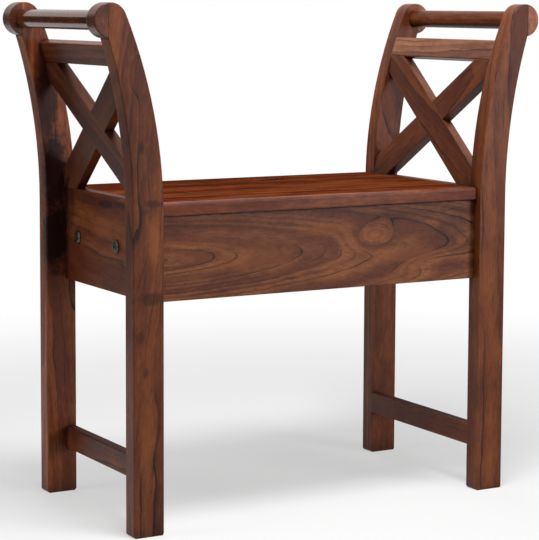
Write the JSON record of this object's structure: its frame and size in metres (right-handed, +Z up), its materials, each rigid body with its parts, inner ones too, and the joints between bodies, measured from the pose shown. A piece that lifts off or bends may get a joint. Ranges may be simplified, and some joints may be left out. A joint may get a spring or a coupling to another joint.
{
  "type": "settle bench",
  "caption": "Small backless settle bench in dark hardwood: scroll-topped flared ends with crossed slats and a boxed seat under a hinged lid.",
  "frame": {"origin": "on the floor, under the middle of the bench's overall box", "axes": "+X along the seat towards the right end as seen from the front, +Y towards the back where the lid is hinged, +Z up"},
  "size_m": [0.7596, 0.333, 0.76],
  "materials": {
    "frame_wood": "dark red-brown rosewood, semi-gloss lacquer",
    "cheek_wood": "brown rosewood, semi-gloss lacquer",
    "turned_wood": "turned brown rosewood, gloss lacquer",
    "rail_wood": "dark brown rosewood, semi-gloss lacquer",
    "panel_wood": "dark red-brown rosewood, semi-gloss lacquer",
    "apron_wood": "figured dark rosewood, semi-gloss lacquer",
    "lid_wood": "orange-brown rosewood, semi-gloss lacquer",
    "inner_wood": "plain wood, thinly stained",
    "hinge_metal": "dull plated",
    "pin_metal": "plain",
    "screw_metal": "dull plated",
    "bolt_metal": "dark bronze-toned plating",
    "zinc_metal": "zinc plated"
  },
  "bodies": {
    "bench_frame": {"post_front_left": "frame_wood", "scroll_cheek_front_left": "cheek_wood", "post_front_right": "frame_wood", "scroll_cheek_front_right": "cheek_wood", "post_back_left": "frame_wood", "scroll_cheek_back_left": "cheek_wood", "post_back_right": "frame_wood", "scroll_cheek_back_right": "cheek_wood", "round_rail_left": "turned_wood", "upper_rail_left": "rail_wood", "slat_rising_back_left": "rail_wood", "slat_rising_front_left": "rail_wood", "side_panel_left": "panel_wood", "stretcher_left": "rail_wood", "round_rail_right": "turned_wood", "upper_rail_right": "rail_wood", "slat_rising_back_right": "rail_wood", "slat_rising_front_right": "rail_wood", "side_panel_right": "panel_wood", "stretcher_right": "rail_wood", "front_apron": "apron_wood", "back_apron": "apron_wood", "box_end_left": "inner_wood", "box_end_right": "inner_wood", "bottom_cleat_front": "inner_wood", "bottom_cleat_back": "inner_wood", "box_bottom": "inner_wood", "hinge_fixed_leaf_left": "hinge_metal", "hinge_pin_left": "pin_metal", "hinge_fixed_leaf_right": "hinge_metal", "hinge_pin_right": "pin_metal", "hinge_screws_apron": "screw_metal", "seat_bolts": "bolt_metal", "bolt_washers": "zinc_metal", "bolt_nuts": "zinc_metal"},
    "lid": {"lid": "lid_wood", "hinge_lid_leaf_left": "hinge_metal", "hinge_lid_leaf_right": "hinge_metal", "hinge_screws_lid": "screw_metal"}
  },
  "joints": [
    {"name": "lid_hinge", "type": "hinge", "parent": "bench_frame", "child": "lid", "pos_m": [0, 0.15345, 0.4581], "axis": [-1, 0, 0], "range_deg": [0, 115]}
  ]
}
